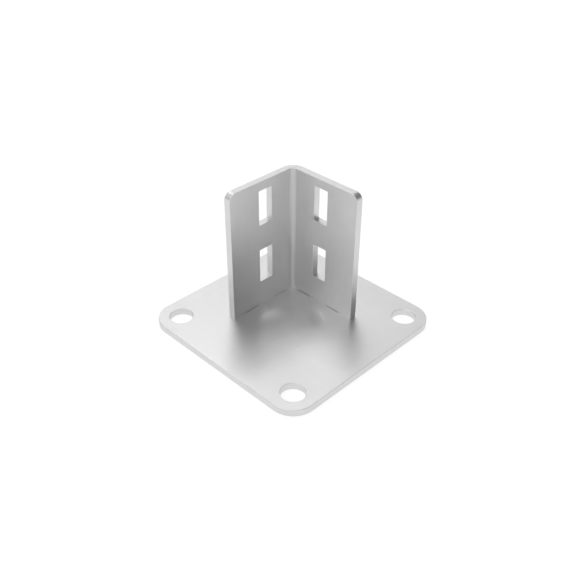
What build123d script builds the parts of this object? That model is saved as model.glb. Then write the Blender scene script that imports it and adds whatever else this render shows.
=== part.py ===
from build123d import *
from build123d.topology import SkipClean
import os

# Console foot bracket: a square base plate that carries an upright slotted angle.
#
# Millimetres, +Z up. The origin is the middle of the plate's underside, where the
# bracket stands on the floor. The sides of the plate run along X and Y. The angle's
# fold is at the (-X, +Y) corner of its square footprint. Its left leg runs from the
# fold towards -Y and its right leg towards +X, so the angle opens towards (+X, -Y).

# Base plate, cut from flat sheet; the inset is from the plate's sides to the middle
# of a hole
plate_side = 110.0
plate_thickness = 4.0
plate_corner_radius = 13.0
bolt_hole_diameter = 13.0
bolt_hole_inset = 12.5

# Upright angle, folded from flat sheet; its height is above the plate
angle_thickness = 4.0
leg_length = 48.0
angle_height = 75.0
bend_inner_radius = 3.0
leg_corner_radius = 4.0

# Fixing slots, the same in both legs; the setback is from the outer face of the
# other leg to the middle of the slot, and the margin is from the leg's top edge
slot_width = 9.0
slot_height = 20.0
slot_corner_radius = 0.5
slot_pitch = 35.0
slot_setback = 24.0
slot_top_margin = 5.0
slots_per_leg = 2

# Locating tabs under each leg, which drop into slots in the plate and are plug
# welded from the underside; the setback is to the first tab, from the outer face
# of the other leg
tab_width = 9.0
tab_pitch = 21.5
tab_setback = 13.5
tab_clearance = 0.25
tabs_per_leg = 2
weld_depth = 1.2

# Deburred edges
edge_break = 0.1

bolt_spacing = plate_side - 2 * bolt_hole_inset

# The fold stands at the corner of a square that is centred on the plate
fold_x = -leg_length / 2
fold_y = leg_length / 2
inner_x = fold_x + angle_thickness
inner_y = fold_y - angle_thickness

# Each leg's outer face, with the place across it of the middle of its slots
leg_faces = [
    (Plane.YZ.offset(fold_x), fold_y - slot_setback),
    (Plane.XZ.offset(-fold_y), fold_x + slot_setback),
]
top_slot_middle = plate_thickness + angle_height - slot_top_margin - slot_height / 2
slot_middles = [top_slot_middle - i * slot_pitch for i in range(slots_per_leg)]

# Middle of each tab, with the leg's thickness along the local X axis
tab_reaches = [tab_setback + i * tab_pitch for i in range(tabs_per_leg)]
left_x = fold_x + angle_thickness / 2
left_tabs = [Location((left_x, fold_y - reach, 0)) for reach in tab_reaches]
right_y = fold_y - angle_thickness / 2
right_tabs = [Location((fold_x + reach, right_y, 0), (0, 0, 90)) for reach in tab_reaches]
tab_places = left_tabs + right_tabs
tab_slot_thickness = angle_thickness + 2 * tab_clearance
tab_slot_width = tab_width + 2 * tab_clearance


# Base plate: rounded square with an anchor hole near each corner
with BuildPart() as base_plate:
    with BuildSketch():
        RectangleRounded(plate_side, plate_side, plate_corner_radius)
        with GridLocations(bolt_spacing, bolt_spacing, 2, 2):
            Circle(bolt_hole_diameter / 2, mode=Mode.SUBTRACT)
    extrude(amount=plate_thickness)
    chamfer(base_plate.edges().filter_by(Plane.XY), edge_break)

    # Through slots that take the angle's tabs
    with BuildSketch():
        with Locations(*tab_places):
            Rectangle(tab_slot_thickness, tab_slot_width)
    extrude(amount=plate_thickness, mode=Mode.SUBTRACT)


# Slotted angle: one strip of sheet folded once, standing on the plate
with BuildPart() as slotted_angle:
    with BuildSketch(Plane.XY.offset(plate_thickness)):
        # The inner line of the fold, thickened outwards
        with BuildLine():
            FilletPolyline(
                (inner_x, fold_y - leg_length),
                (inner_x, inner_y),
                (fold_x + leg_length, inner_y),
                radius=bend_inner_radius,
            )
            offset(amount=angle_thickness, side=Side.LEFT)
        make_face()
    extrude(amount=angle_height)

    # Rounded top corner at the free end of each leg
    top_edges = slotted_angle.edges().group_by(Axis.Z)[-1]
    left_corner = top_edges.filter_by(Axis.X).sort_by(Axis.Y)[0]
    right_corner = top_edges.filter_by(Axis.Y).sort_by(Axis.X)[-1]
    fillet([left_corner, right_corner], leg_corner_radius)

    # Edge break along the left leg's free end, which runs on over the top to the
    # right leg's free end
    left_end = slotted_angle.edges().filter_by(Axis.Z).group_by(Axis.Y)[0]
    chamfer(left_end, edge_break)

    # Fixing slots through each leg
    for outer_face, across in leg_faces:
        with BuildSketch(outer_face):
            with Locations(*[(across, middle) for middle in slot_middles]):
                RectangleRounded(slot_width, slot_height, slot_corner_radius)
        extrude(amount=angle_thickness, mode=Mode.SUBTRACT)
        chamfer(slotted_angle.edges(Select.LAST).filter_by(outer_face), edge_break)

    # Tabs, short of the plate's underside by the depth of the weld. Their sides stay
    # faces of their own, so that the face of each leg ends on the plate.
    with BuildSketch(Plane.XY.offset(weld_depth)):
        with Locations(*tab_places):
            Rectangle(angle_thickness, tab_width)
    with SkipClean():
        extrude(amount=plate_thickness - weld_depth)


# Weld metal that fills each tab slot below its tab, ground flush with the plate
with BuildPart() as tab_welds:
    with BuildSketch():
        with Locations(*tab_places):
            Rectangle(tab_slot_thickness, tab_slot_width)
    extrude(amount=weld_depth)


base_plate.part.label = "base_plate"
slotted_angle.part.label = "slotted_angle"
tab_welds.part.label = "tab_welds"

os.makedirs("parts", exist_ok=True)
export_step(base_plate.part, "parts/base_plate.step")
export_step(slotted_angle.part, "parts/slotted_angle.step")
export_step(tab_welds.part, "parts/tab_welds.step")
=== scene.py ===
import math

import bpy
from mathutils import Matrix, Vector

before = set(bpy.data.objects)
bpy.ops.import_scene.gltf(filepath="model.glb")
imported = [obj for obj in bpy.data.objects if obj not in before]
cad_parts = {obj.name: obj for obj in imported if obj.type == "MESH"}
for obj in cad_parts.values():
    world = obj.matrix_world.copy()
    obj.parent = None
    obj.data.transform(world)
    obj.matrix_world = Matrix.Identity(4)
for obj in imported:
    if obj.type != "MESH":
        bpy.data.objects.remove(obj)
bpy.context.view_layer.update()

# Console foot bracket in bare satin steel, in a plain studio. Metres, +Z up. The bracket stands on
# the floor with its fold towards -X and +Y, and the camera looks into the angle.

MILLIMETRE = 0.001
WHITE = (1, 1, 1, 1)

# Camera: where it stands round the object, in degrees, and how far off; its lens and sensor in
# millimetres; the height that it looks at, and how far that point lies to the right of and above
# the object's middle in the picture; the range that it sees
CAMERA_AZIMUTH = 45.24
CAMERA_ELEVATION = 35.02
CAMERA_DISTANCE = 0.4098
CAMERA_LENS = 50.0
CAMERA_SENSOR = 36.0
AIM_HEIGHT = 0.033
AIM_RIGHT = -0.00484
AIM_UP = -0.00612
CAMERA_NEAR = 0.01
CAMERA_FAR = 100

# Soft boxes: compass bearing clockwise from +Y and height above the horizon, in degrees, the
# width and height they seem to have from the object, in degrees, and their brightness
LAMP_DISTANCE = 6.0
SOFT_BOXES = {
    "overhead": dict(bearing=295.5, height=65, across=25, upright=21.5, brightness=6.8),
    "front": dict(bearing=183, height=52, across=36, upright=27, brightness=2.2),
    "low": dict(bearing=129, height=34, across=22.5, upright=14.5, brightness=3.4),
    "back": dict(bearing=317, height=29, across=69, upright=15.5, brightness=1.22),
    "left": dict(bearing=224.5, height=45, across=37, upright=45.5, brightness=0.8),
}

# Room: white from the horizon up, which fades into a dim haze overhead. Heights are those of a
# unit direction.
HAZE = 0.2
WHITE_TOP = 0.096
FADE_TOP = 0.242

# Floor: its own paleness as camera and metal see it, what it takes from the lamps on top of that,
# and its plain colour
FLOOR_SIZE = 12.0
FLOOR_DROP = 0.0001
FLOOR_GLOW = 0.92
FLOOR_SHADE = 0.12
FLOOR_PALE = 0.85

# Steel: brightness and roughness of sound sheet and of ground weld metal
SHEET_COLOUR = 0.70
SHEET_ROUGHNESS = 0.40
WELD_COLOUR = 0.58
WELD_ROUGHNESS = 0.46

# Soft cloud, streaks of rolled sheet, scratches of ground metal and a fine tooth: their size, how
# much they change the brightness and the roughness in all, and how deep they are
CLOUD_SIZE = 7 * MILLIMETRE
CLOUD_COLOUR = 0.015
CLOUD_ROUGHNESS = 0.03
STREAK_LENGTH = 18 * MILLIMETRE
STREAK_WIDTH = 0.35 * MILLIMETRE
STREAK_COLOUR = 0.02
STREAK_ROUGHNESS = 0.06
STREAK_DEPTH = 0.0006 * MILLIMETRE
SCRATCH_LENGTH = 5 * MILLIMETRE
SCRATCH_WIDTH = 0.25 * MILLIMETRE
TOOTH_SIZE = 0.22 * MILLIMETRE
TOOTH_DEPTH = 0.003 * MILLIMETRE

# Noise: how finely it is broken up, and the two values that most of it lies between
COARSE_DETAIL = 3.0
FINE_DETAIL = 2.0
NOISE_LOW = 0.3
NOISE_HIGH = 0.7

# Edges: how far the wear reaches and what it changes, how the direction of a rounded surface
# agrees with the true one off an edge and on it, and the radius that edges are rounded to. The
# wear is least where the cloud is low and full where it is high.
EDGE_WIDTH = 0.45 * MILLIMETRE
EDGE_COLOUR = 0.06
EDGE_ROUGHNESS = -0.08
OFF_EDGE = 0.99
ON_EDGE = 0.80
EDGE_SAMPLES = 6
EDGE_ROUND = 0.15 * MILLIMETRE
ROUND_SAMPLES = 4
WEAR_LOW = 0.35
WEAR_HIGH = 0.6
WEAR_LEAST = 0.3

# Where edges are left sharp: on the plate out to this reach from its middle, where the angle
# stands, and on the angle up to this height, where it meets the plate
SEAT_REACH = 28 * MILLIMETRE
SEAT_HEIGHT = 4.5 * MILLIMETRE
SEAT_FADE = 0.5 * MILLIMETRE

# Painted light: a line where the inner faces of the angle meet the plate, a little brighter than
# the sheet, that lifts the shade in the crease between them: how far these faces and the ends of the
# legs stand from the object's middle, how high the line lies, and how far it spreads on both pieces
SEAM_INSIDE = 20 * MILLIMETRE
SEAM_END = 24 * MILLIMETRE
SEAM_TOP = 4 * MILLIMETRE
SEAM_DROP = 0.3 * MILLIMETRE
SEAM_WIDTH = 0.9 * MILLIMETRE
SEAM_PAINTED_LIGHT = 0.035

# Fold: rougher along its inner face, where the sheet was pressed, and darker there with painted
# shade that dims the bend's highlight. The reach is how far the middle of the bend stands from the
# object's middle along each axis, and the depth is through the sheet.
FOLD_REACH = 17 * MILLIMETRE
FOLD_FADE = 2.2 * MILLIMETRE
FOLD_DEPTH = 5 * MILLIMETRE
FOLD_PAINTED_SHADE = -0.09
FOLD_ROUGHNESS = 0.08


def grey(value):
    return (value, value, value, 1)


def feed(tree, socket, value):
    """Links an input to another node's output, or sets it to a plain value."""
    if isinstance(value, bpy.types.NodeSocket):
        tree.links.new(value, socket)
    else:
        socket.default_value = value


def node(tree, kind, settings=None, **inputs):
    """A shader node with some of its settings and inputs, which are named with _ for a space."""
    made = tree.nodes.new(kind)
    for name, value in (settings or {}).items():
        setattr(made, name, value)
    for name, value in inputs.items():
        feed(tree, made.inputs[name.replace("_", " ")], value)
    return made


def in_order(tree, kind, values, settings=None):
    """A shader node whose first inputs take these values, one after the other."""
    made = node(tree, kind, settings)
    for socket, value in zip(made.inputs, values):
        feed(tree, socket, value)
    return made


def maths(tree, operation, *values):
    return in_order(tree, "ShaderNodeMath", values, {"operation": operation}).outputs[0]


def total(tree, *values):
    """The sum of several values."""
    summed = values[0]
    for value in values[1:]:
        summed = maths(tree, "ADD", summed, value)
    return summed


def times(tree, first, second):
    return maths(tree, "MULTIPLY", first, second)


def spread(tree, value, low, high, start, end, curve="LINEAR"):
    """Maps a value between low and high to one between start and end."""
    limits = dict(From_Min=low, From_Max=high, To_Min=start, To_Max=end)
    mapped = node(tree, "ShaderNodeMapRange", {"interpolation_type": curve}, Value=value, **limits)
    return mapped.outputs["Result"]


def varied(tree, value, middle, change):
    """Maps a noise to a value round a middle one, from half the change below it to half above."""
    return spread(tree, value, NOISE_LOW, NOISE_HIGH, middle - change / 2, middle + change / 2)


def noise(tree, where, size, detail):
    """Noise whose lumps have the given size along each axis."""
    stretch = tuple(1 / s for s in size)
    place = node(tree, "ShaderNodeMapping", Vector=where, Scale=stretch).outputs[0]
    return node(tree, "ShaderNodeTexNoise", Vector=place, Scale=1.0, Detail=detail).outputs[0]


def bump(tree, height, depth, normal):
    """A normal that follows a height between 0 and 1, as deep as given, on top of another one."""
    made = node(tree, "ShaderNodeBump", Height=height, Distance=depth, Strength=1.0, Normal=normal)
    return made.outputs[0]


def compass(bearing, height):
    """The direction at a compass bearing from +Y and a height above the horizon, in degrees."""
    turn, rise = math.radians(bearing), math.radians(height)
    return Vector((math.sin(turn) * math.cos(rise), math.cos(turn) * math.cos(rise), math.sin(rise)))


def make_camera():
    turn, rise = math.radians(CAMERA_AZIMUTH), math.radians(CAMERA_ELEVATION)
    back = Vector((math.sin(turn) * math.cos(rise), -math.cos(turn) * math.cos(rise), math.sin(rise)))
    right = Vector((math.cos(turn), math.sin(turn), 0))
    up = back.cross(right)
    aim = Vector((0, 0, AIM_HEIGHT)) + right * AIM_RIGHT + up * AIM_UP
    data = bpy.data.cameras.new("camera")
    data.lens = CAMERA_LENS
    data.sensor_width = CAMERA_SENSOR
    data.clip_start = CAMERA_NEAR
    data.clip_end = CAMERA_FAR
    camera = bpy.data.objects.new("camera", data)
    bpy.context.scene.collection.objects.link(camera)
    placed = Matrix((right, up, back)).transposed().to_4x4()
    placed.translation = aim + back * CAMERA_DISTANCE
    camera.matrix_world = placed
    bpy.context.scene.camera = camera


def lamp_size(angle):
    """How wide a lamp is that seems this wide from the object, in degrees."""
    return 2 * LAMP_DISTANCE * math.tan(math.radians(angle) / 2)


def make_soft_box(name, bearing, height, across, upright, brightness):
    """A rectangular lamp that faces the object."""
    out = compass(bearing, height)
    data = bpy.data.lights.new(name, "AREA")
    data.shape = "RECTANGLE"
    data.size = lamp_size(across)
    data.size_y = lamp_size(upright)
    data.energy = math.pi * brightness * data.size * data.size_y
    lamp = bpy.data.objects.new(name, data)
    bpy.context.scene.collection.objects.link(lamp)
    lamp.rotation_mode = "QUATERNION"
    lamp.rotation_quaternion = out.to_track_quat("Z", "Y")
    lamp.location = out * LAMP_DISTANCE


def make_room():
    """Plain surroundings, white at the horizon and dim overhead."""
    world = bpy.data.worlds.new("room")
    world.use_nodes = True
    tree = world.node_tree
    tree.nodes.clear()
    where = node(tree, "ShaderNodeTexCoord").outputs["Generated"]
    height = node(tree, "ShaderNodeSeparateXYZ", Vector=where).outputs["Z"]
    shade = spread(tree, height, WHITE_TOP, FADE_TOP, 1.0, HAZE, "SMOOTHSTEP")
    glow = node(tree, "ShaderNodeBackground", Color=WHITE, Strength=shade).outputs[0]
    node(tree, "ShaderNodeOutputWorld", Surface=glow)
    bpy.context.scene.world = world


def floor_paint():
    """A pale matt floor that camera, metal and glass see as white, less the object's shadow."""
    material = bpy.data.materials.new("floor")
    material.use_nodes = True
    tree = material.node_tree
    tree.nodes.clear()
    plain = node(tree, "ShaderNodeBsdfDiffuse", Color=grey(FLOOR_PALE)).outputs[0]
    shade = node(tree, "ShaderNodeBsdfDiffuse", Color=grey(FLOOR_SHADE)).outputs[0]
    glow = node(tree, "ShaderNodeEmission", Color=WHITE, Strength=FLOOR_GLOW).outputs[0]
    seen = in_order(tree, "ShaderNodeAddShader", (shade, glow)).outputs[0]
    ray = node(tree, "ShaderNodeLightPath").outputs
    looked_at = maths(tree, "MAXIMUM", ray["Is Camera Ray"], ray["Is Glossy Ray"])
    looked_at = maths(tree, "MAXIMUM", looked_at, ray["Is Transmission Ray"])
    mixed = in_order(tree, "ShaderNodeMixShader", (looked_at, plain, seen)).outputs[0]
    node(tree, "ShaderNodeOutputMaterial", Surface=mixed)
    return material


def make_floor():
    mesh = bpy.data.meshes.new("floor")
    half = FLOOR_SIZE / 2
    corners = [(-half, -half, 0), (half, -half, 0), (half, half, 0), (-half, half, 0)]
    mesh.from_pydata(corners, [], [(0, 1, 2, 3)])
    mesh.materials.append(floor_paint())
    floor = bpy.data.objects.new("floor", mesh)
    floor.location.z = -FLOOR_DROP
    bpy.context.scene.collection.objects.link(floor)


def nowhere(tree, place):
    """0 all over a piece."""
    return 0.0


def beyond_seat(tree, place):
    """1 on the plate outside the angle's seat, 0 in it."""
    across = maths(tree, "ABSOLUTE", place["X"])
    along = maths(tree, "ABSOLUTE", place["Y"])
    reach = maths(tree, "MAXIMUM", across, along)
    return spread(tree, reach, SEAT_REACH, SEAT_REACH + SEAT_FADE, 0.0, 1.0)


def above_seat(tree, place):
    """1 on the angle above the plate, 0 where it meets the plate."""
    return spread(tree, place["Z"], SEAT_HEIGHT, SEAT_HEIGHT + SEAT_FADE, 0.0, 1.0)


def beside_leg(tree, place):
    """1 on the plate's top along the inner faces of the angle's legs, 0 away from them."""
    # The left leg stands at -X and runs along Y. The right leg is its mirror image in the upright
    # plane through the fold, so it stands at +Y and runs along X.
    left_leg = (place["X"], place["Y"])
    right_leg = (times(tree, place["Y"], -1.0), times(tree, place["X"], -1.0))
    gaps = []
    for across, along in (left_leg, right_leg):
        gap = maths(tree, "ABSOLUTE", total(tree, across, SEAM_INSIDE))
        gap = maths(tree, "MAXIMUM", gap, maths(tree, "SUBTRACT", along, SEAM_INSIDE))
        gap = maths(tree, "MAXIMUM", gap, maths(tree, "SUBTRACT", -SEAM_END, along))
        gaps.append(gap)
    near = spread(tree, maths(tree, "MINIMUM", *gaps), 0.0, SEAM_WIDTH, 1.0, 0.0)
    on_top = spread(tree, place["Z"], SEAM_TOP - SEAM_DROP, SEAM_TOP, 0.0, 1.0)
    return times(tree, near, on_top)


def beside_plate(tree, place):
    """1 on the angle where it meets the plate, 0 above that."""
    return spread(tree, place["Z"], SEAM_TOP, SEAM_TOP + SEAM_WIDTH, 1.0, 0.0)


def at_fold(tree, place):
    """1 along the inner face of the angle's fold, 0 on its legs and its outer face."""
    left = maths(tree, "SUBTRACT", -FOLD_REACH, place["X"])
    back = maths(tree, "SUBTRACT", place["Y"], FOLD_REACH)
    past_left = spread(tree, left, 0.0, FOLD_FADE, 0.0, 1.0)
    past_back = spread(tree, back, 0.0, FOLD_FADE, 0.0, 1.0)
    inside = spread(tree, total(tree, left, back), FOLD_DEPTH, FOLD_DEPTH + FOLD_FADE, 1.0, 0.0)
    return times(tree, times(tree, past_left, past_back), inside)


def edge_wear(tree, rounded, cloud):
    """Up to 1 along the outer edges of a piece, in step with the cloud, and 0 away from them."""
    width = times(tree, rounded, EDGE_WIDTH)
    softened = node(tree, "ShaderNodeBevel", {"samples": EDGE_SAMPLES}, Radius=width).outputs[0]
    flat = node(tree, "ShaderNodeNewGeometry").outputs["True Normal"]
    dot = {"operation": "DOT_PRODUCT"}
    agree = in_order(tree, "ShaderNodeVectorMath", (softened, flat), dot).outputs["Value"]
    at_edge = spread(tree, agree, OFF_EDGE, ON_EDGE, 0.0, 1.0)
    return times(tree, at_edge, spread(tree, cloud, WEAR_LOW, WEAR_HIGH, WEAR_LEAST, 1.0))


def steel(name, colour, roughness, grain, edged=nowhere, crease_light=nowhere, pressed_and_shaded=nowhere):
    """Bare satin steel. grain is the size along each axis of its streaks or scratches. The last
    three make masks: where edges are rounded and worn, where painted light brightens the crease
    where two pieces meet, and where the sheet was pressed and is rougher and darker with painted shade."""
    material = bpy.data.materials.new(name)
    material.use_nodes = True
    tree = material.node_tree
    surface = tree.nodes["Principled BSDF"].inputs
    where = node(tree, "ShaderNodeTexCoord").outputs["Object"]
    place = node(tree, "ShaderNodeSeparateXYZ", Vector=where).outputs
    cloud = noise(tree, where, (CLOUD_SIZE,) * 3, COARSE_DETAIL)
    streak = noise(tree, where, grain, COARSE_DETAIL)
    tooth = noise(tree, where, (TOOTH_SIZE,) * 3, FINE_DETAIL)
    rounded = edged(tree, place)
    worn = edge_wear(tree, rounded, cloud)
    # Masks for the painted light in the crease where the pieces meet, and for the fold's painted shade and
    # roughness
    crease_lit = crease_light(tree, place)
    shade_and_dull = pressed_and_shaded(tree, place)

    bright = total(
        tree,
        varied(tree, cloud, colour, CLOUD_COLOUR),
        varied(tree, streak, 0.0, STREAK_COLOUR),
        times(tree, worn, EDGE_COLOUR),
        # Painted shade: darkens the fold's inner face to dim its highlight
        times(tree, shade_and_dull, FOLD_PAINTED_SHADE),
        # Painted light: brightens the crease where the angle meets the plate, lifting its shade
        times(tree, crease_lit, SEAM_PAINTED_LIGHT),
    )
    tone = node(tree, "ShaderNodeCombineColor", Red=bright, Green=bright, Blue=bright).outputs[0]

    rough = total(
        tree,
        varied(tree, cloud, roughness, -CLOUD_ROUGHNESS),
        varied(tree, streak, 0.0, -STREAK_ROUGHNESS),
        times(tree, worn, EDGE_ROUGHNESS),
        times(tree, shade_and_dull, FOLD_ROUGHNESS),
    )

    # Relief: rounded edges, then streaks, then the fine tooth
    radius = times(tree, rounded, EDGE_ROUND)
    relief = node(tree, "ShaderNodeBevel", {"samples": ROUND_SAMPLES}, Radius=radius).outputs[0]
    relief = bump(tree, streak, STREAK_DEPTH, relief)
    relief = bump(tree, tooth, TOOTH_DEPTH, relief)

    for socket, value in (("Base Color", tone), ("Metallic", 1.0), ("Roughness", rough), ("Normal", relief)):
        feed(tree, surface[socket], value)
    return material


def dress(name, material):
    """Gives a piece one material all over."""
    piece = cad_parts[name]
    piece.data.materials.clear()
    piece.data.materials.append(material)


make_camera()
for name, box in SOFT_BOXES.items():
    make_soft_box(name, **box)
make_room()
make_floor()
bpy.context.scene.view_settings.view_transform = "Standard"

along_x = (STREAK_LENGTH, STREAK_WIDTH, STREAK_WIDTH)
along_z = (STREAK_WIDTH, STREAK_WIDTH, STREAK_LENGTH)
scratches = (SCRATCH_LENGTH, SCRATCH_WIDTH, SCRATCH_WIDTH)
plate_masks = dict(edged=beyond_seat, crease_light=beside_leg)
angle_masks = dict(edged=above_seat, crease_light=beside_plate, pressed_and_shaded=at_fold)
dress("base_plate", steel("plate_steel", SHEET_COLOUR, SHEET_ROUGHNESS, along_x, **plate_masks))
dress("slotted_angle", steel("angle_steel", SHEET_COLOUR, SHEET_ROUGHNESS, along_z, **angle_masks))
dress("tab_welds", steel("weld_steel", WELD_COLOUR, WELD_ROUGHNESS, scratches))
